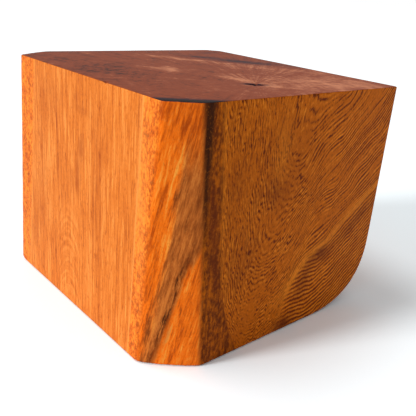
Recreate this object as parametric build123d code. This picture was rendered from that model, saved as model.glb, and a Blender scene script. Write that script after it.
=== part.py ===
from build123d import *
import os

# A squared block of hardwood, cut across a log so that its top and bottom are end grain.
# Lengths are in millimetres. The origin is the middle of the base, with Z up the grain,
# X to the right along the front face and Y towards the back.

# Overall size of the squared block
block_width = 119.0
block_depth = 117.0
block_height = 100.0

# Wane is a corner where the log's own round surface was never sawn away. Each upright
# one is given by the length it takes off the front or back face and off the side face,
# at the top and at the bottom. The log swells, so they change down the block.
log_radius = 90.0
front_wane_top_across = 7.5
front_wane_top_side = 10.5
front_wane_bottom_across = 15.7
front_wane_bottom_side = 17.0
left_wane_top_across = 9.6
left_wane_top_side = 15.5
left_wane_bottom_across = 1.6
left_wane_bottom_side = 2.4
back_wane_top_across = 5.2
back_wane_top_side = 6.5
back_wane_bottom_across = 6.8
back_wane_bottom_side = 8.4

# The log curves in under the back edge, most of all at the right-hand face. Run is how
# far in from the back face the curve starts and rise is how high up the back face it ends.
under_run_right = 38.2
under_rise_right = 32.0
under_run_left = 20.0
under_rise_left = 16.0

# The base is worn round along the left-hand face
foot_run = 5.4
foot_rise = 5.2

# Where the two inner control points of both curves lie, as shares of their run and rise
curve_first_run, curve_first_rise = 0.48, 0.03
curve_second_run, curve_second_rise = 0.97, 0.06

# Corners and edges eased by sanding
front_wane_easing = 4.5
left_wane_easing = 1.2
back_wane_easing = 1.5
back_right_easing = 1.2
top_easing = 0.5
bottom_easing = 1.0

# The open pith, a small check with one side crack in the end grain on top
pith_x = 38.0
pith_y = -4.8
pith_length = 6.0
pith_width = 2.2
pith_depth = 3.0
pith_turn = 56.0
side_crack_length = 3.4
side_crack_width = 0.9
side_crack_turn = 128.0

# A knock in the top edge of the front face
nick_x = 19.1
nick_radius = 0.8

# How far a trimming profile runs past the block's faces
overrun = 5.0


def between(bottom, top, level):
    """A size at one height, from its values at the bottom and at the top of the block."""
    return bottom + (top - bottom) * level / block_height


def plan_outline(level):
    """The block seen from above at one height, with wane at three of its four corners."""
    right, back = block_width / 2, block_depth / 2
    left, front = -right, -back
    left_across = between(left_wane_bottom_across, left_wane_top_across, level)
    left_side = between(left_wane_bottom_side, left_wane_top_side, level)
    front_across = between(front_wane_bottom_across, front_wane_top_across, level)
    front_side = between(front_wane_bottom_side, front_wane_top_side, level)
    back_across = between(back_wane_bottom_across, back_wane_top_across, level)
    back_side = between(back_wane_bottom_side, back_wane_top_side, level)

    front_start = (left + left_across, front)
    front_end = (right - front_across, front)
    right_start = (right, front + front_side)
    right_end = (right, back)
    back_end = (left + back_across, back)
    left_start = (left, back - back_side)
    left_end = (left, front + left_side)
    outline = [
        Line(front_start, front_end),
        RadiusArc(front_end, right_start, -log_radius),
        Line(right_start, right_end),
        Line(right_end, back_end),
        RadiusArc(back_end, left_start, -log_radius),
        Line(left_start, left_end),
        RadiusArc(left_end, front_start, -log_radius),
    ]
    face = make_face(outline)
    easings = [
        (front_end, front_wane_easing),
        (right_start, front_wane_easing),
        (right_end, back_right_easing),
        (back_end, back_wane_easing),
        (left_start, back_wane_easing),
        (left_end, left_wane_easing),
        (front_start, left_wane_easing),
    ]
    for corner, radius in easings:
        face = fillet(face.vertices().sort_by_distance(corner)[0], radius)
    return Pos(0, 0, level) * face


def worn_corner(edge, run, rise):
    """The wood gone from a lower corner, from a smooth curve outwards. The curve starts on
    the base, run inside the edge, and ends on the upright face there, rise above the base."""
    start = Vector(edge - run, 0)
    first = start + Vector(run * curve_first_run, rise * curve_first_rise)
    second = start + Vector(run * curve_second_run, rise * curve_second_rise)
    end = Vector(edge, rise)
    below = start - (first - start).normalized() * overrun
    beyond = end + (end - second).normalized() * overrun
    outer, lower = beyond.X + overrun, below.Y - overrun
    return make_face(
        [
            Line(below, start),
            Bezier(start, first, second, end),
            Line(end, beyond),
            Line(beyond, (outer, beyond.Y)),
            Line((outer, beyond.Y), (outer, lower)),
            Line((outer, lower), (below.X, lower)),
            Line((below.X, lower), below),
        ]
    )


def under_cut():
    """The wood that the round of the log lacks under the back edge."""
    reach = block_width / 2 + overrun
    outlines = []
    for x in (-reach, reach):
        share = x / block_width + 0.5
        run = under_run_left + (under_run_right - under_run_left) * share
        rise = under_rise_left + (under_rise_right - under_rise_left) * share
        outlines.append(Plane.YZ.offset(x) * worn_corner(block_depth / 2, run, rise))
    return loft(outlines, ruled=True)


def foot_cut():
    """The wood worn off the base along the left-hand face."""
    reach = block_depth / 2 + overrun
    leftward = Plane(origin=(0, -reach, 0), x_dir=(-1, 0, 0), z_dir=(0, 1, 0))
    return extrude(leftward * worn_corner(block_width / 2, foot_run, foot_rise), 2 * reach)


def check_pocket(length, width, turn):
    """A crack in the end grain, open at the top and much narrower at its depth."""
    mouth = Ellipse(length / 2, width / 2)
    floor = Ellipse(length / 4, width / 8)
    pocket = loft([Pos(0, 0, -pith_depth) * floor, mouth])
    return Pos(pith_x, pith_y, block_height) * Rot(0, 0, turn) * pocket


def wood_block():
    """The whole block: squared, waned, eased, then worn and checked as the real one is."""
    block = loft([plan_outline(0), plan_outline(block_height)], ruled=True)
    block = fillet(block.faces().sort_by(Axis.Z)[-1].edges(), top_easing)
    block = fillet(block.faces().sort_by(Axis.Z)[0].edges(), bottom_easing)
    block = block - under_cut()
    block = block - foot_cut()
    block -= check_pocket(pith_length, pith_width, pith_turn)
    block -= check_pocket(side_crack_length, side_crack_width, side_crack_turn)
    block -= Pos(nick_x, -block_depth / 2, block_height) * Sphere(nick_radius)
    return block


os.makedirs("parts", exist_ok=True)
export_step(wood_block(), "parts/wood_block.step")
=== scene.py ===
"""A squared block of oiled hardwood: one piece of a log, with the end grain on top."""

import math

import bpy
import numpy as np
from mathutils import Matrix, Vector

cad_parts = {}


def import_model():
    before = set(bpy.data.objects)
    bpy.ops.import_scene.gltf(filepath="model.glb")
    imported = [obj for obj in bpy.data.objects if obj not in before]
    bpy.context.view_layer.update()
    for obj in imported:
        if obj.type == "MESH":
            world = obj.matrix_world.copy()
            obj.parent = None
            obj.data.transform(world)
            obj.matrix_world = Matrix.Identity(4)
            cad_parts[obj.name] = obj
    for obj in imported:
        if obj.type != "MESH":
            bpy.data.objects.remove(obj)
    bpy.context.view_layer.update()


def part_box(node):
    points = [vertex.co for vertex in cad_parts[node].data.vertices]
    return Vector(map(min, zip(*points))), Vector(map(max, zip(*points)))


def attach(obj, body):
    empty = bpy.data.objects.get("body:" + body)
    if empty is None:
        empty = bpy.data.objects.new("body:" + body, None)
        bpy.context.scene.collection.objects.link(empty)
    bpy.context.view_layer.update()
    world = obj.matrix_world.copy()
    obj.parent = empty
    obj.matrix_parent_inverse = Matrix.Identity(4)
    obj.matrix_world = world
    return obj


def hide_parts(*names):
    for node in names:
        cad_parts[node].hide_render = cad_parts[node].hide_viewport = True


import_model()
LOWEST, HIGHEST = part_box("wood_block")
MM = 0.001

# The block's faces. All of the block's sizes are in millimetres.
LEFT, RIGHT = LOWEST.x / MM, HIGHEST.x / MM
FRONT, BACK = LOWEST.y / MM, HIGHEST.y / MM
HEIGHT = HIGHEST.z / MM

# Wane, the log's own round surface at a corner: what it takes off the front or back face
# and off the side face, at the top and at the bottom
LOG_RADIUS = 90.0
FRONT_WANE_TOP, FRONT_WANE_BOTTOM = (7.5, 11.3), (15.7, 18.2)
LEFT_WANE_TOP, LEFT_WANE_BOTTOM = (9.6, 15.5), (1.6, 2.4)
BACK_WANE_TOP, BACK_WANE_BOTTOM = (5.2, 6.5), (6.8, 8.4)

# How far behind its corner a wane's surface ends, so that it leaves other corners whole
WANE_REACH = 12.0

# The lower edges where the log curves in: run along the base and rise up the face. Both
# are quarters of a flat oval, and the power says how square it is.
UNDER_LEFT, UNDER_RIGHT = (20.0, 16.0), (38.2, 32.0)
FOOT_RUN, FOOT_RISE = 5.4, 5.2
CURVE_POWER = 2.55

# How far each edge is rounded and, where it isn't square, the angle in degrees between
# the ways that its two surfaces face
FRONT_EASING, FRONT_TURN = 4.5, 45
RIGHT_EASING, RIGHT_TURN = 7.0, 33
LEFT_EASING, LEFT_FRONT_TURN, LEFT_SIDE_TURN = 1.2, 54, 30
BACK_EASING, BACK_TURN = 1.5, 40
TOP_EASING = 0.5
BASE_EASING = 1.1

# The open pith in the top: a check with a side crack, and a sliver of wood across it
PITH = (38.0, -4.8)
PITH_HALF_LENGTH, PITH_HALF_WIDTH, PITH_DEPTH, PITH_TURN = 2.9, 1.05, 2.6, 56
CRACK_HALF_LENGTH, CRACK_HALF_WIDTH, CRACK_TURN = 1.8, 0.45, 128
SLIVER, SLIVER_HALF_LENGTH, SLIVER_HALF_WIDTH, SLIVER_TURN = (38.4, -5.3), 2.0, 0.35, 40

# Knocks in the front edge of the top: place along the edge, and size
NICKS = ((19.1, 0.9), (-24.7, 0.6))

# How deep the hand-worked faces and the log's own surface dip
FACE_DIP, WANE_DIP = 0.08, 0.09

# How far apart the mesh's lines lie, and how far round the pith and a knock they are fine
SPACING, FINE_SPACING = 1.2, 0.3
PITH_FINE, NICK_FINE = 4.2, 1.5

# How far in from each edge the mesh's crowded lines lie, and where the even ones begin
CROWDED = (0, 0.12, 0.25, 0.4, 0.6, 0.9, 1.4, 2.1)
EVEN_FROM = 3

# Between which two angles, in degrees round from the right towards the front, the
# right-hand face gives way to the wane and the wane to the front
RIGHT_TO_WANE, WANE_TO_FRONT = (12, 26), (60, 74)

# The pale line down the right-hand face: its place at the top, how far it leans for each
# millimetre down, and the height below which it bends, and how much
LINE_TOP, LINE_LEAN, LINE_KNEE, LINE_BEND = -38.9, 0.085, 40, 0.0056

# Two soft lamps, in front and high up, each with the direction towards it, its strength
# and its width in degrees. Then the room's own light, the floor's own colour, its colour
# as the camera sees it, and its half width in metres.
FRONT_LAMP = (-0.26, -0.915, 0.31), 2.55, 15
HIGH_LAMP = (-0.28, -0.33, 0.902), 0.78, 25
AMBIENT = (0.41, 0.41, 0.41)
FLOOR_GREY = (0.8, 0.8, 0.8)
FLOOR_WHITE = (1.22, 1.31, 1.35)
FLOOR_HALF_WIDTH = 30.0
WHITE = (1, 1, 1)

# Soft patches of colour. Each is a strength, a middle, a half length, a half width and,
# where it has one, a turn in degrees. Most are in the wood; those at the pith are painted
# shade in its open hole, and the blue ones on top are dark wood whose blue tint is painted
# reflection of the oiled top's sheen. Those on top are placed by x and y, those on the
# right-hand face by y and z, and those in front by x and z.
TOP_DARK = (
    (0.45, (-26, -6), 7, 5, -60),
    (0.60, (-13, 9), 6, 3),
    (0.60, (6, -2), 5, 3),
    (0.60, (11, 23), 12, 4, -35),
    (0.40, (25, 31), 10, 4, 35),
    (0.50, (20, -12), 16, 4, 35),
    (0.50, (-10, -44), 46, 12),
    (0.20, (-52, -30), 6, 26),
    # painted shade in the open pith's hole
    (0.85, PITH, 3.4, 1.6, PITH_TURN),
)
TOP_TAN = (
    (0.90, (-26, 13), 19, 5, 38),
    (0.90, (-2, -15), 10, 3.5, -30),
    (0.60, (-8, -22), 8, 4, 20),
    (0.50, (8, 40), 26, 7, 50),
    (0.80, (26, -3), 8, 3.5, 10),
    (0.70, (43, -1), 4, 3),
    (0.80, (45, 26), 34, 34),
)
# Blue-black patches: dark wood whose blue tint is painted reflection of the oiled top's sheen
TOP_BLUE = (
    (1.00, (-15, 38), 15, 6, 40),
    (0.70, (-33, 27), 8, 4, 50),
    (0.50, (-47, 43), 8, 3, -75),
    (0.25, (-5, 54), 12, 4),
    (0.60, (56, -46.5), 12, 3.4, 58),
    # painted shade in the open pith's hole, strong enough to turn it black
    (2.20, PITH, 3.8, 1.9, PITH_TURN),
)
RIGHT_DARK = (
    (0.40, (-10, 64), 7, 5, -20),
    (0.30, (-31, 70), 5, 14),
    (0.75, (23, 31.5), 7, 4, 5),
    (0.50, (14, 21), 4, 9, -20),
    (0.90, (4.5, 2), 5, 4),
    (0.45, (45, 42), 16, 3.5, 36),
    (0.22, (-6, 74), 16, 18),
    (0.30, (-24, 38), 10, 12),
    (0.25, (-30, 8), 14, 8),
    (2.20, (-20.4, 42.5), 0.85, 0.7),
)
RIGHT_PALE = (
    (0.35, (-9, 80), 4, 12),
    (0.35, (3, 20), 10, 4, 55),
)
FRONT_DARK = (
    (0.70, (2.4, 72), 1.8, 5),
    (0.75, (-0.6, 62), 1.3, 7),
    (0.60, (-1.2, 56), 1.5, 3.5),
    (0.40, (-5.5, 57), 1.6, 5),
    (0.40, (-1.5, 91), 1.6, 1.6),
    (0.35, (3, 87), 6, 1.6),
    (0.20, (-32, 58), 5, 24),
    (0.16, (-38, 35), 8, 12),
    (0.16, (14, 60), 6, 30),
    (0.20, (-24, 88), 10, 8),
)
FRONT_PALE = (
    (0.45, (43, 70), 3, 40),
    (0.30, (-46, 15), 8, 14),
)

# The wood's colours: straight grain, the log's last rings, the curly face and its dark
# border, the wane, and the end grain. The right-hand face's browns and border colours are
# darker partly in the wood and partly as painted shade of that side, which faces away from
# the lamps. The end grain's pink and blue are partly painted reflection of the oiled top's
# sheen, and its black is painted shade in the open pith.
ORANGE = (0.66, 0.168, 0.017)
ORANGE_DARK = (0.34, 0.058, 0.005)
ORANGE_PALE = (0.84, 0.29, 0.056)
SHELL_RED = (0.62, 0.095, 0.006)
SHELL_PALE = (0.93, 0.28, 0.024)
# The right-hand face: darker partly in the wood and partly as painted shade of a side that faces away
# from the lamps
BROWN = (0.60, 0.134, 0.001)
BROWN_DARK = (0.17, 0.026, 0.001)
BROWN_PALE = (0.90, 0.265, 0.014)
BORDER_RED = (0.64, 0.148, 0.001)
BORDER_DARK = (0.15, 0.026, 0.001)
WANE_ORANGE = (0.97, 0.185, 0.006)
WANE_PALE = (1.00, 0.38, 0.050)
WANE_RED = (0.46, 0.066, 0.002)
WANE_TAN = (0.62, 0.180, 0.032)
WANE_BROWN = (0.20, 0.050, 0.008)
# WANE_BLACK also paints shade beside the rounded corner on the right-hand face
WANE_BLACK = (0.035, 0.008, 0.002)
END_RED = (0.300, 0.057, 0.015)
END_DARK = (0.070, 0.013, 0.005)
# END_TAN's pink and END_BLUE's blue are partly painted reflection of the oiled top's sheen; END_BLACK
# is painted shade in the open pith, and the darkest of the rim
END_TAN = (0.68, 0.240, 0.112)
END_BLUE = (0.035, 0.012, 0.020)
END_BLACK = (0.012, 0.006, 0.006)

# How rough and how shiny the oiled surface is, and the depth of its fine relief
ROUGHNESS, SHINE, RELIEF = 0.42, 0.06, 0.12


def camera():
    """The photograph's viewpoint, a little above the block and off its front corner. Its
    places are in metres."""
    place = Vector((0.1886, -0.1590, 0.1327))
    aim = Vector((0.0320, -0.0182, 0.0504))
    roll = math.radians(4.72)
    data = bpy.data.cameras.new("camera")
    data.sensor_width = 36.0
    data.lens = 48.8
    data.clip_start, data.clip_end = 0.01, 20.0
    made = bpy.data.objects.new("camera", data)
    turn = (aim - place).to_track_quat("-Z", "Y").to_matrix().to_4x4()
    made.matrix_world = Matrix.Translation(place) @ turn @ Matrix.Rotation(roll, 4, "Z")
    bpy.context.scene.collection.objects.link(made)
    bpy.context.scene.camera = made


def corner(first, second, radius, turn=90):
    """Where two surfaces meet, rounded to about a radius. Each is how far a point lies
    outside it, and turn is the angle, in degrees, between the ways that they face."""
    reach = 4 * radius * (1 - math.cos(math.radians(turn / 2)))
    near = np.maximum(reach - abs(first - second), 0)
    return np.maximum(first, second) + near**2 / (4 * reach)


def between(first, last, share):
    """Two sizes, a share of the way from the first pair of them to the last pair."""
    return [start + (end - start) * share for start, end in zip(first, last)]


def wane(x, y, z, at, top, bottom):
    """How far points lie outside the log's round surface at one upright corner. at is the
    corner's own place, and top and bottom are what the wane takes off there."""
    across, side = between(bottom, top, z / HEIGHT)
    towards_x, towards_y = np.sign(at[0]), np.sign(at[1])
    half_chord = np.hypot(across, side) / 2
    out_x, out_y = side / (2 * half_chord) * towards_x, across / (2 * half_chord) * towards_y
    middle_x, middle_y = at[0] - towards_x * across / 2, at[1] - towards_y * side / 2
    inset = np.sqrt(LOG_RADIUS**2 - half_chord**2)
    beyond = (x - middle_x) * out_x + (y - middle_y) * out_y
    log = np.hypot(x - middle_x + out_x * inset, y - middle_y + out_y * inset) - LOG_RADIUS
    return np.minimum(log, beyond + WANE_REACH)


def front_wane(x, y, z):
    """How far points lie outside the wane at the front right corner."""
    return wane(x, y, z, (RIGHT, FRONT), FRONT_WANE_TOP, FRONT_WANE_BOTTOM)


def left_wane(x, y, z):
    """The same at the front left corner."""
    return wane(x, y, z, (LEFT, FRONT), LEFT_WANE_TOP, LEFT_WANE_BOTTOM)


def back_wane(x, y, z):
    """The same at the back left corner."""
    return wane(x, y, z, (LEFT, BACK), BACK_WANE_TOP, BACK_WANE_BOTTOM)


def curved_foot(out, z, face, run, rise):
    """How far points lie outside a lower edge that curves from the base to a face."""
    along = np.maximum((out - face) / run + 1, 0)
    down = np.maximum(1 - z / rise, 0)
    together = (along**CURVE_POWER + down**CURVE_POWER) ** (1 / CURVE_POWER)
    return (together - 1) * np.sqrt(run * rise)


def under_curve(x, y, z):
    """How far points lie outside the curve under the back edge."""
    run, rise = between(UNDER_LEFT, UNDER_RIGHT, (x - LEFT) / (RIGHT - LEFT))
    return curved_foot(y, z, BACK, run, rise)


def outside(points):
    """How far points lie outside the block, and negative inside it."""
    x, y, z = points.T
    left_wood, back_wood = left_wane(x, y, z), back_wane(x, y, z)
    walls = corner(FRONT - y, front_wane(x, y, z), FRONT_EASING, FRONT_TURN)
    walls = corner(walls, x - RIGHT, RIGHT_EASING, RIGHT_TURN)
    walls = corner(walls, left_wood, LEFT_EASING, LEFT_FRONT_TURN)
    walls = corner(walls, back_wood, BACK_EASING, BACK_TURN)
    foot = curved_foot(-x, z, -LEFT, FOOT_RUN, FOOT_RISE)
    base = np.maximum.reduce([y - BACK, under_curve(x, y, z), -z, foot])
    solid = corner(walls, base, BASE_EASING)
    left_side = corner(LEFT - x, left_wood, LEFT_EASING, LEFT_SIDE_TURN)
    left_side = corner(left_side, back_wood, BACK_EASING, BACK_TURN)
    solid = np.maximum(solid, left_side)
    return corner(solid, z - HEIGHT, TOP_EASING)


def slope(points):
    """The direction in which outside() grows, and how fast, at each point."""
    step = 0.01
    found = np.empty_like(points)
    for axis in range(3):
        move = np.zeros(3)
        move[axis] = step
        found[:, axis] = (outside(points + move) - outside(points - move)) / (2 * step)
    return found


def facing(points):
    """The way that the surface faces at each point."""
    way = slope(points)
    return way / np.linalg.norm(way, axis=1)[:, None]


def onto_surface(points):
    """Points moved onto the block's surface by the shortest way, in a few steps."""
    steps, least_steep = 14, 0.05
    for _ in range(steps):
        way = slope(points)
        steep = np.maximum((way**2).sum(1), least_steep)
        points = points - way * (outside(points) / steep)[:, None]
    return points


def stations(low, high, fine=()):
    """The mesh's lines along one side: even, but crowded at both ends and in fine places,
    each of which is a middle and how far it reaches."""
    ends = [low + step for step in CROWDED] + [high - step for step in CROWDED]
    count = round((high - low - 2 * EVEN_FROM) / SPACING) + 1
    even = np.linspace(low + EVEN_FROM, high - EVEN_FROM, count)
    for middle, reach in fine:
        even = even[abs(even - middle) > reach]
        crowd = np.arange(middle - reach, middle + reach + FINE_SPACING / 2, FINE_SPACING)
        even = np.append(even, crowd)
    return np.unique(np.round(np.concatenate([ends, even]), 4))


def box_grid(rulings):
    """The corners and quads of a box's six sides, from its lines along each axis. Each
    quad's corners run so that it faces outwards."""
    index, places, quads = {}, [], []

    def corner_at(steps):
        if steps not in index:
            index[steps] = len(places)
            places.append([lines[step] for lines, step in zip(rulings, steps)])
        return index[steps]

    for axis in range(3):
        first, second = (axis + 1) % 3, (axis + 2) % 3
        for side in (0, len(rulings[axis]) - 1):
            for i in range(len(rulings[first]) - 1):
                for j in range(len(rulings[second]) - 1):
                    ring = []
                    for u, v in ((i, j), (i + 1, j), (i + 1, j + 1), (i, j + 1)):
                        at = {axis: side, first: u, second: v}
                        ring.append(corner_at((at[0], at[1], at[2])))
                    quads.append(ring if side else ring[::-1])
    return np.array(places), quads


def smooth_rise(value, low, high):
    """0 below low, 1 above high, and an even S between them."""
    share = np.clip((value - low) / (high - low), 0, 1)
    return share * share * (3 - 2 * share)


def stripe(offset, half_width):
    """A soft stripe: 1 along its middle, fading out a little beyond its half width."""
    return np.exp(-((offset / half_width) ** 2))


def patch(across, up, middle, half_length, half_width, turn=0):
    """A soft oval patch, made as a stripe is."""
    cos, sin = math.cos(math.radians(turn)), math.sin(math.radians(turn))
    along = (across - middle[0]) * cos + (up - middle[1]) * sin
    beside = (up - middle[1]) * cos - (across - middle[0]) * sin
    return stripe(along, half_length) * stripe(beside, half_width)


def patches(across, up, rows):
    """Several patches together, each a strength and then what patch() takes."""
    return sum(strength * patch(across, up, *place) for strength, *place in rows)


def pale_line(z):
    """Where the wood of the curly heart begins on the right-hand face."""
    return LINE_TOP + LINE_LEAN * (HEIGHT - z) + LINE_BEND * np.maximum(LINE_KNEE - z, 0) ** 2


def pale_streak(y):
    """How high the pale streak crosses the right-hand face: steep in front, then nearly
    level, then rising again towards the back."""
    return 4.5 + 33 * (1 - np.exp(-(y + 0.2) / 9.5)) + 0.62 * np.maximum(y - 26, 0)


def curl_fields(y, z):
    """The right-hand face's figure: nested U shapes whose left arms follow the pale line
    and right arms the pale streak, and nearly level stripes below the streak. across and
    along run over and along the U shapes, level runs over the stripes, and below is 1
    where the stripes are."""
    inside = np.maximum(y - pale_line(z), 0)
    left = 0.009 * inside**2 - 1.35 * inside + 1.3 * np.maximum(pale_line(z) - y, 0)
    beyond = np.maximum(y, 6.5)
    height = z - pale_streak(beyond) - 1.2 * (y - beyond)
    lean = 0.22 * smooth_rise(height, 0, 60) * np.maximum(y - 10, 0)
    rise = 0.63 * (lean - height)
    round_off = 8
    across = np.logaddexp(left / round_off, rise / round_off) * round_off
    along = rise - left
    level = z - 0.7 * np.logaddexp(0, (y - 25) / 3) * 3
    below = smooth_rise(pale_streak(y) - z, -0.6, 1.2) * smooth_rise(y, -1, 7)
    return across, along, level, below


def side_shares(normals):
    """How far each point belongs to the right-hand face, the front wane and the ends."""
    angle = np.degrees(np.arctan2(-normals[:, 1], normals[:, 0]))
    right = 1 - smooth_rise(abs(angle), *RIGHT_TO_WANE)
    on_wane = smooth_rise(angle, *RIGHT_TO_WANE) * (1 - smooth_rise(angle, *WANE_TO_FRONT))
    end = smooth_rise(abs(normals[:, 2]), 0.55, 0.85)
    return right * (abs(normals[:, 0]) > 0.3), on_wane, end


def wane_fields(x, y, z):
    """Places on the front wane: the share of the way across it, and millimetres."""
    across, side = between(FRONT_WANE_BOTTOM, FRONT_WANE_TOP, z / HEIGHT)
    width = np.hypot(across, side)
    run = ((x - RIGHT + across) * across + (y - FRONT) * side) / width
    return run / width, run


def top_tones(x, y, z):
    """Dark, tan and blue-black patches in the end grain on top, with a blue-black rim along the
    front wane. At the pith the dark and the blue are painted shade in its open hole; elsewhere
    the blue tint is painted reflection of the oiled top's sheen on dark wood."""
    on_top = smooth_rise(z, HEIGHT - 2, HEIGHT - 0.6)
    rim = smooth_rise(front_wane(x, y, z), -6.5, -2.0) * smooth_rise(x, 36, 50)
    blue = patches(x, y, TOP_BLUE) + 1.3 * rim
    return patches(x, y, TOP_DARK) * on_top, patches(x, y, TOP_TAN) * on_top, blue * on_top


def right_tones(y, z):
    """Dark and pale wood in the curly face on the right: a dark trail in its border, the
    pale streak, which is wider at its steep end, and the pale line."""
    trail = stripe(y + 41.6 - 0.12 * (75 - z), 1.5)
    trail = trail * smooth_rise(z, 26, 36) * (1 - smooth_rise(z, 68, 80))
    streak_width = 1.6 + 0.10 * np.maximum(20 - y, 0)
    streak = stripe(z - pale_streak(y) - 0.5 * streak_width, streak_width)
    streak = streak * smooth_rise(y, -2, 8)
    line = stripe(y - pale_line(z), 0.7) * smooth_rise(z, 20, 60)
    dark = patches(y, z, RIGHT_DARK) + 0.85 * trail
    pale = patches(y, z, RIGHT_PALE) + 0.85 * streak + 0.40 * line
    return dark, pale


def block_attributes(mesh, points):
    """What the wood's nodes need to know of each point, beyond its place."""
    x, y, z = points.T
    right, on_wane, end = side_shares(facing(points))
    in_front = (1 - right) * (y < 0) * (1 - end)
    top_dark, tan, blue = top_tones(x, y, z)
    right_dark, right_pale = right_tones(y, z)
    dark = right_dark * right + patches(x, z, FRONT_DARK) * in_front + top_dark * end
    pale = right_pale * right + patches(x, z, FRONT_PALE) * in_front + tan * end
    across, along, level, below = curl_fields(y, z)
    wane_at, wane_run = wane_fields(x, y, z)
    fields = {
        "sides": (right, on_wane, end),
        "curl": (across, along, level),
        "tones": (dark, pale, blue * end),
        "places": (wane_at, wane_run, below),
    }
    for name, parts in fields.items():
        made = mesh.attributes.new(name, "FLOAT_VECTOR", "POINT")
        made.data.foreach_set("vector", np.column_stack(parts).ravel())


def face_dip(x, y, z):
    """Shallow waves left by handwork."""
    waves = np.sin(x / 7.3 + 2 * np.sin(z / 23)) + np.sin(y / 8.1 + z / 31) + np.sin(z / 17 + x / 29)
    return FACE_DIP * (waves + 3) / 6


def wane_dip(x, y, z):
    """Slanting ridges in the log's own surface."""
    run = wane_fields(x, y, z)[1]
    ridges = np.sin(run * 1.3 - z * 0.25) + np.sin(run * 0.6 + 2 * np.sin(z / 13))
    return WANE_DIP * (ridges + 2) / 4


def pith_dip(x, y):
    """The open pith."""
    pit = patch(x, y, PITH, PITH_HALF_LENGTH, PITH_HALF_WIDTH, PITH_TURN)
    crack = patch(x, y, PITH, CRACK_HALF_LENGTH, CRACK_HALF_WIDTH, CRACK_TURN)
    sliver = patch(x, y, SLIVER, SLIVER_HALF_LENGTH, SLIVER_HALF_WIDTH, SLIVER_TURN)
    return PITH_DEPTH * np.maximum(pit**1.5, 0.7 * crack) * (1 - 0.9 * sliver)


def worn(points):
    """Points pushed in where the surface dips, is checked or has been knocked."""
    x, y, z = points.T
    normals = facing(points)
    _, on_wane, end = side_shares(normals)
    dip = face_dip(x, y, z) + wane_dip(x, y, z) * on_wane
    dip = dip + pith_dip(x, y) * end * (z > HEIGHT / 2)
    for place, size in NICKS:
        gap = np.sqrt((x - place) ** 2 + (y - FRONT) ** 2 + (z - HEIGHT) ** 2)
        dip = dip + 0.75 * size * stripe(gap, size)
    return points - normals * dip[:, None]


def block():
    """The piece itself, as a fine mesh with eased and worn edges."""
    nicks = [(place, NICK_FINE) for place, _ in NICKS]
    xs = stations(LEFT, RIGHT, [(PITH[0], PITH_FINE)] + nicks)
    ys = stations(FRONT, BACK, [(PITH[1], PITH_FINE)])
    zs = stations(0.0, HEIGHT)
    places, quads = box_grid((xs, ys, zs))
    places = onto_surface(places)
    mesh = bpy.data.meshes.new("wood_block")
    mesh.from_pydata((worn(places) * MM).tolist(), [], quads)
    mesh.update()
    mesh.shade_smooth()
    block_attributes(mesh, places)
    made = bpy.data.objects.new("hardwood_block", mesh)
    bpy.context.scene.collection.objects.link(made)
    return made


class Value:
    """A number or a colour that nodes give, so that the formulas below read as sums."""

    def __init__(self, socket):
        self.socket = socket

    def __add__(self, other):
        return maths("ADD", self, other)

    def __sub__(self, other):
        return maths("SUBTRACT", self, other)

    def __rsub__(self, other):
        return maths("SUBTRACT", other, self)

    def __mul__(self, other):
        return maths("MULTIPLY", self, other)


def maths(operation, *terms):
    """One sum, worked out by a node at every point of the surface."""
    tree = next(term for term in terms if isinstance(term, Value)).socket.id_data
    node = tree.nodes.new("ShaderNodeMath")
    node.operation = operation
    for socket, term in zip(node.inputs, terms):
        plug(term, socket)
    return Value(node.outputs[0])


def plug(term, socket):
    """Gives a node's socket what another node gives, a number, or a colour."""
    if isinstance(term, Value):
        socket.id_data.links.new(term.socket, socket)
    elif isinstance(term, tuple):
        socket.default_value = (*term, 1)
    else:
        socket.default_value = term


def mix(tree, share, first, second):
    """A colour, a share of the way from the first to the second. A mix node's sockets 6
    and 7 take the two colours, and its output 2 gives the mixed one."""
    node = tree.nodes.new("ShaderNodeMix")
    node.data_type = "RGBA"
    plug(share, node.inputs[0])
    plug(first, node.inputs[6])
    plug(second, node.inputs[7])
    return Value(node.outputs[2])


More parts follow.
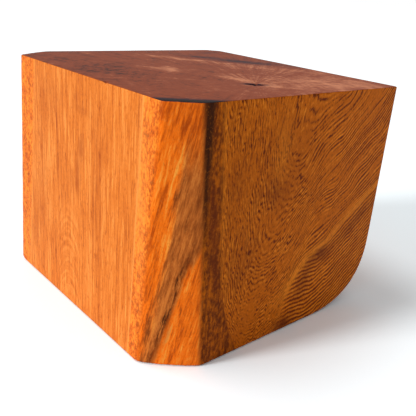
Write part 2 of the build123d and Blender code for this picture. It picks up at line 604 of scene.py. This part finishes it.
class Wood:
    """The nodes of one material."""

    def __init__(self, name):
        self.material = bpy.data.materials.new(name)
        self.material.use_nodes = True
        self.tree = self.material.node_tree
        self.shader = self.tree.nodes["Principled BSDF"]
        self.here = self.tree.nodes.new("ShaderNodeTexCoord").outputs["Object"]

    def split(self, socket):
        """The three parts of a place or of three fields."""
        node = self.tree.nodes.new("ShaderNodeSeparateXYZ")
        self.tree.links.new(socket, node.inputs[0])
        return [Value(part) for part in node.outputs]

    def place(self):
        """Each point's place on the object, in millimetres."""
        return [part * (1 / MM) for part in self.split(self.here)]

    def fields(self, name):
        """Three of the fields that the mesh carries."""
        node = self.tree.nodes.new("ShaderNodeAttribute")
        node.attribute_name = name
        return self.split(node.outputs["Vector"])

    def noise(self, along, *settings):
        """Cloudy noise along any three axes, each given with the size of its spots."""
        scaled = [term * (1 / size) for term, size in along]
        join = self.tree.nodes.new("ShaderNodeCombineXYZ")
        for term, socket in zip(scaled, join.inputs):
            plug(term, socket)
        return self.clouds(join.outputs[0], *settings)

    def spots(self, sizes, *settings):
        """Cloudy noise along x, y and z, from the sizes of its spots. It holds fewer values
        in wait than noise() does, and the renderer has room for few."""
        node = self.tree.nodes.new("ShaderNodeMapping")
        self.tree.links.new(self.here, node.inputs["Vector"])
        node.inputs["Scale"].default_value = [1 / (size * MM) for size in sizes]
        return self.clouds(node.outputs[0], *settings)

    def clouds(self, source, detail, roughness, seed):
        """Cloudy noise, mostly from -1 to 1, at the places that a socket gives."""
        node = self.tree.nodes.new("ShaderNodeTexNoise")
        node.noise_dimensions = "4D"
        self.tree.links.new(source, node.inputs["Vector"])
        node.inputs["W"].default_value = seed
        node.inputs["Scale"].default_value = 1.0
        node.inputs["Detail"].default_value = detail
        node.inputs["Roughness"].default_value = roughness
        return maths("MULTIPLY_ADD", Value(node.outputs["Fac"]), 5.0, -2.5)

    def rise(self, value, low, high):
        """0 at low, 1 at high and level beyond them, with an even S between. Where low is
        the larger of the two, it falls instead."""
        node = self.tree.nodes.new("ShaderNodeMapRange")
        node.interpolation_type = "SMOOTHSTEP"
        plug(value, node.inputs["Value"])
        node.inputs["From Min"].default_value = low
        node.inputs["From Max"].default_value = high
        return Value(node.outputs["Result"])

    def near(self, value, outer, inner):
        """0 where a value is more than outer from 0, and 1 within inner."""
        return self.rise(maths("ABSOLUTE", value), outer, inner)

    def mix(self, share, first, second):
        """A colour, a share of the way from the first to the second."""
        return mix(self.tree, share, first, second)

    def relief(self, height, depth):
        """Fine relief that is deepest where the wood is darkest."""
        node = self.tree.nodes.new("ShaderNodeBump")
        node.inputs["Distance"].default_value = depth * MM
        node.inputs["Strength"].default_value = 0.6
        plug(height, node.inputs["Height"])
        self.tree.links.new(node.outputs[0], self.shader.inputs["Normal"])


def straight_grain(wood, x, y, z):
    """The straight-grained faces: fine upright streaks, short pores and a faint arch."""
    streak = wood.spots((1.9, 1.9, 120), 4, 0.8, 1)
    fibre = wood.spots((0.75, 0.75, 14), 2, 0.6, 2)
    pore = wood.spots((1.15, 1.15, 4.2), 2, 0.6, 3)
    cloud = wood.spots((10, 10, 34), 2, 0.5, 4)
    beside = x + 8.5
    arch = z + beside * beside * 0.10
    arches = wood.noise([(arch, 2.2), (x, 9), (y, 30)], 2, 0.6, 30)
    arched = wood.near(beside, 17, 6) * wood.rise(z, 52, 34) * wood.rise(y, -50, -56)
    depth = streak * 0.50 + fibre * 0.48 + cloud * 0.22 + wood.rise(pore, 0.2, 1.5) * 0.8 - 0.10
    depth = depth + (arches * 0.32 - streak * 0.15) * arched
    colour = wood.mix(wood.rise(depth, -0.15, 0.95), ORANGE, ORANGE_DARK)
    return wood.mix(wood.rise(depth, 0.05, -0.75), colour, ORANGE_PALE)


def shell_grain(wood, x, z):
    """The last rings under the log's surface: redder, with short level flecks, and darker
    towards the wane."""
    fleck = wood.spots((2.4, 2.4, 5), 3, 0.75, 5)
    speck = wood.spots((0.9, 0.9, 1.5), 2, 0.6, 6)
    wane_edge = z * 0.082 + 43.8
    depth = fleck + speck * 0.9 + 0.1 + wood.rise(x - wane_edge, -5, 0) * 0.3
    colour = wood.mix(wood.rise(depth, -0.8, 0.8), SHELL_PALE, SHELL_RED)
    return wood.mix(wood.rise(depth, 0.55, 1.1), colour, ORANGE_DARK)


def front_wood(wood, x, y, z):
    """Straight grain, with the last rings beside both front corners and a pale line where
    each begins."""
    colour = straight_grain(wood, x, y, z)
    left_edge = z * 0.125 - 48.5
    right_edge = z * 0.05 + 37.6
    in_front = wood.rise(y, -40, -50)
    shell = maths("MAXIMUM", wood.rise(left_edge - x, -0.8, 1.2), wood.rise(x - right_edge, -0.5, 0.8))
    colour = wood.mix(shell * in_front * 0.8, colour, shell_grain(wood, x, z))
    right_line = wood.near(x - right_edge, 0.9, 0.1) * 0.7
    left_line = wood.near(x - left_edge, 1.6, 0.2) * 0.4
    return wood.mix(maths("MAXIMUM", right_line, left_line) * in_front, colour, ORANGE_PALE)


def curly_grain(wood, across, along, level, below, y, z):
    """The right-hand face: rippled stripes broken up into short dark dashes, fainter where
    the U shapes turn, and broad bands below the pale streak."""
    calm = wood.rise(y, 2, 26)
    bend = wood.noise([(along, 5.0), (across, 9), (y, 60)], 2, 0.55, 7)
    drift = wood.noise([(y, 22), (z, 22), (along, 90)], 1, 0.5, 22)
    crease = wood.near(along + bend * 2, 12, 1)
    bent = across + bend * (0.85 - calm * 0.55) * (1 - crease * 0.6) + drift * 1.4
    dash = wood.noise([(bent, 0.65), (along, 2.8), (z, 60)], 2, 0.6, 8)
    strength = wood.rise(wood.noise([(y, 13), (z, 13), (along, 90)], 1, 0.5, 21), -0.9, 0.9)
    ripple = maths("SINE", bent * (2 * math.pi / 0.95)) * (strength * 0.60 + 0.20)
    upper = (dash * 0.70 + ripple) * (1 - crease * 0.45)
    wave = wood.noise([(y, 8), (z, 16), (level, 60)], 2, 0.5, 9)
    lower_level = level + wave * 0.9
    band = maths("SINE", lower_level * (2 * math.pi / 2.05))
    lower_dash = wood.noise([(lower_level, 1.3), (y, 7), (z, 60)], 2, 0.6, 10)
    lower = lower_dash * 0.50 + band * 0.85
    figure = upper + (lower - upper) * below
    fleck = wood.noise([(y, 1.0), (z, 1.7), (level, 50)], 2, 0.6, 11)
    depth = figure * 1.65 + fleck * 0.55
    # BROWN and its kin hold painted shade as well as the curly wood's own darker colour
    colour = wood.mix(wood.rise(depth, 0.05, 1.25), BROWN, BROWN_DARK)
    return wood.mix(wood.rise(depth, 0.0, -2.2), colour, BROWN_PALE)


def border_grain(wood, y, z):
    """The dark wood between the wane and the pale line on the right-hand face, turning
    black towards the wane partly as painted shade where the rounded corner turns away from
    the lamps.
    """
    streak = wood.noise([(y, 1.6), (z, 16), (z, 90)], 3, 0.65, 23)
    fleck = wood.noise([(y, 1.3), (z, 2.4), (z, 90)], 2, 0.6, 24)
    depth = streak * 0.60 + fleck * 0.60
    colour = wood.mix(wood.rise(depth, -0.9, 0.6), BORDER_RED, BORDER_DARK)
    # The black towards the wane is partly a dark streak and partly painted shade on the rounded corner
    black = wood.rise(y + streak * 1.2, -41.8, -44.2) * wood.rise(z, 20, 80)
    return wood.mix(black * 0.92, colour, WANE_BLACK)


def right_wood(wood, curl, below, y, z):
    """The curly heart, and the dark border in front of the pale line."""
    curly = curly_grain(wood, *curl, below, y, z)
    knee = maths("POWER", maths("MAXIMUM", LINE_KNEE - z, 0.0), 2.0)
    line = (HEIGHT - z) * LINE_LEAN + LINE_TOP + knee * LINE_BEND
    return wood.mix(wood.rise(y - line, 0.2, -1.0), curly, border_grain(wood, y, z))


def wane_grain(wood, at, run, z):
    """The log's own surface: orange, with a dark slanting band, darker at its foot, and a
    black vein in it. at is the share of the way across the wane."""
    slant = run - z * 0.13
    streak = wood.noise([(slant, 2.2), (z, 34), (z, 90)], 4, 0.7, 12)
    speck = wood.noise([(slant, 0.8), (z, 6.0), (z, 90)], 3, 0.7, 13)
    flame = wood.noise([(slant, 3.4), (z, 14), (z, 90)], 3, 0.65, 25)
    low = z * 0.0062 + 0.02
    high = z * 0.011 + 0.27 + maths("MAXIMUM", z - 38, 0.0) * 0.016
    ragged = at + streak * 0.07 + speck * 0.03 + flame * 0.04
    band = wood.rise(ragged - low, -0.05, 0.10) * wood.rise(high - ragged, -0.04, 0.07)
    band = band * wood.rise(z + flame * 5, 96, 72)
    ruddy = wood.rise(z + flame * 4, 82, 97) * 0.35 + wood.rise(at, 0.16, -0.02) * 0.35
    depth = streak * 0.58 + speck * 0.62 + flame * 0.45 + ruddy
    colour = wood.mix(wood.rise(depth, -0.25, 1.0), WANE_ORANGE, WANE_RED)
    colour = wood.mix(wood.rise(depth, -0.05, -1.0), colour, WANE_PALE)
    flecks = wood.rise(speck + flame * 0.7, 0.5, 1.6) * wood.rise(z, 46, 22)
    colour = wood.mix(flecks * 0.55, colour, WANE_BROWN)
    inner = wood.mix(wood.rise(depth, -0.9, 0.75), WANE_TAN, WANE_BROWN)
    foot = wood.rise(high - ragged, 0.22, 0.02) * wood.rise(z, 58, 40)
    inner = wood.mix(foot * wood.rise(depth, -0.9, 0.6) * 0.75, inner, WANE_BLACK)
    colour = wood.mix(band * 0.88, colour, inner)
    from_vein = at + flame * 0.03 + speck * 0.03 - (z * 0.0125 + 0.14)
    vein = wood.near(from_vein, 0.085, 0.015) * wood.rise(z, 45, 37) * wood.rise(z, 8, 17)
    vein = vein * wood.rise(speck + streak * 0.5, -0.6, 0.5)
    return wood.mix(vein * 0.85, colour, WANE_BLACK)


def end_grain(wood, x, y, z, dark, pale):
    """The sawn ends: rings round the pith and fine rays out from it."""
    out_x, out_y = x - PITH[0], y - PITH[1]
    wobble = wood.spots((18, 18, 200), 2, 0.5, 14)
    radius = maths("SQRT", out_x * out_x + out_y * out_y) + wobble * 2
    angle = maths("ARCTAN2", out_y, out_x)
    ring = wood.noise([(radius, 3.0), (angle, 0.6), (z, 200)], 2, 0.6, 15)
    ray = wood.noise([(angle, 0.035), (radius, 26), (z, 200)], 3, 0.65, 16)
    cloud = wood.spots((8, 8, 200), 3, 0.6, 17)
    pore = wood.spots((1.6, 1.6, 200), 2, 0.6, 18)
    depth = ring * 0.45 + ray * 0.72 + cloud * 0.45 + pore * (dark * 1.1 + 0.45)
    depth = depth + dark * 0.7 - pale * 1.8
    colour = wood.mix(wood.rise(depth, -0.1, 1.5), END_RED, END_DARK)
    # END_TAN's pink is partly painted reflection of the oiled top's sheen
    return wood.mix(wood.rise(depth, -0.3, -2.2), colour, END_TAN)


def wood_material():
    """Oiled hardwood, with each kind of grain where the block's fields place it."""
    wood = Wood("oiled_hardwood")
    x, y, z = wood.place()
    right, on_wane, end = wood.fields("sides")
    curl = wood.fields("curl")
    dark, pale, blue = wood.fields("tones")
    wane_at, wane_run, below = wood.fields("places")

    colour = front_wood(wood, x, y, z)
    colour = wood.mix(right, colour, right_wood(wood, curl, below, y, z))
    colour = wood.mix(on_wane, colour, wane_grain(wood, wane_at, wane_run, z))

    uneven = wood.spots((3, 3, 6), 2, 0.5, 20) * 0.35 + 1
    # On the right-hand face the browns hold painted shade as well as the wood's own colour
    deep = wood.mix(right, ORANGE_DARK, BROWN_DARK)
    bright = wood.mix(right, ORANGE_PALE, BROWN_PALE)
    colour = wood.mix(dark * uneven * (1 - end), colour, deep)
    colour = wood.mix(pale * uneven * (1 - end) * 0.8, colour, bright)
    grit = wood.spots((0.6, 0.6, 1.1), 1, 0.5, 31)
    colour = wood.mix(wood.rise(grit, 0.2, 1.3) * 0.35, colour, deep)
    colour = wood.mix(wood.rise(grit, -0.2, -1.3) * 0.22, colour, bright)

    ends = end_grain(wood, x, y, z, dark, pale)
    # The blue tint is painted reflection of the top's sheen on dark wood. Black where the blue is
    # strongest: painted shade in the open pith, and the darkest of the rim along the wane.
    ends = wood.mix(blue * uneven, ends, END_BLUE)
    ends = wood.mix(wood.rise(blue, 1.15, 1.7), ends, END_BLACK)
    colour = wood.mix(end, colour, ends)
    plug(colour, wood.shader.inputs["Base Color"])
    wood.relief(colour, RELIEF)
    wood.shader.inputs["Roughness"].default_value = ROUGHNESS
    wood.shader.inputs["Specular IOR Level"].default_value = SHINE
    return wood.material


def sun(name, direction, strength, softness):
    """A lamp far away, as wide as its softness in degrees."""
    data = bpy.data.lights.new(name, "SUN")
    data.energy = strength
    data.angle = math.radians(softness)
    made = bpy.data.objects.new(name, data)
    made.rotation_euler = Vector(direction).to_track_quat("Z", "Y").to_euler()
    bpy.context.scene.collection.objects.link(made)


def by_ray(tree, others, seen):
    """One colour for what the camera sees directly, and another for all other light."""
    path = tree.nodes.new("ShaderNodeLightPath")
    return mix(tree, Value(path.outputs["Is Camera Ray"]), others, seen)


def world():
    """The room's own light, seen as white."""
    made = bpy.data.worlds.new("studio")
    made.use_nodes = True
    background = made.node_tree.nodes["Background"]
    plug(by_ray(made.node_tree, AMBIENT, WHITE), background.inputs["Color"])
    bpy.context.scene.world = made


def floor():
    """A wide pale floor that the camera sees as white where no shadow falls."""
    half = FLOOR_HALF_WIDTH
    corners = [(-half, -half, 0), (half, -half, 0), (half, half, 0), (-half, half, 0)]
    mesh = bpy.data.meshes.new("floor")
    mesh.from_pydata(corners, [], [(0, 1, 2, 3)])
    made = bpy.data.objects.new("floor", mesh)
    bpy.context.scene.collection.objects.link(made)
    material = bpy.data.materials.new("floor")
    material.use_nodes = True
    tree = material.node_tree
    tree.nodes.remove(tree.nodes["Principled BSDF"])
    matt = tree.nodes.new("ShaderNodeBsdfDiffuse")
    plug(by_ray(tree, FLOOR_GREY, FLOOR_WHITE), matt.inputs["Color"])
    tree.links.new(matt.outputs[0], tree.nodes["Material Output"].inputs["Surface"])
    mesh.materials.append(material)


camera()
piece = block()
piece.data.materials.append(wood_material())
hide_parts("wood_block")
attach(piece, "root")
floor()
world()
sun("front_lamp", *FRONT_LAMP)
sun("high_lamp", *HIGH_LAMP)
bpy.context.scene.view_settings.view_transform = "Standard"
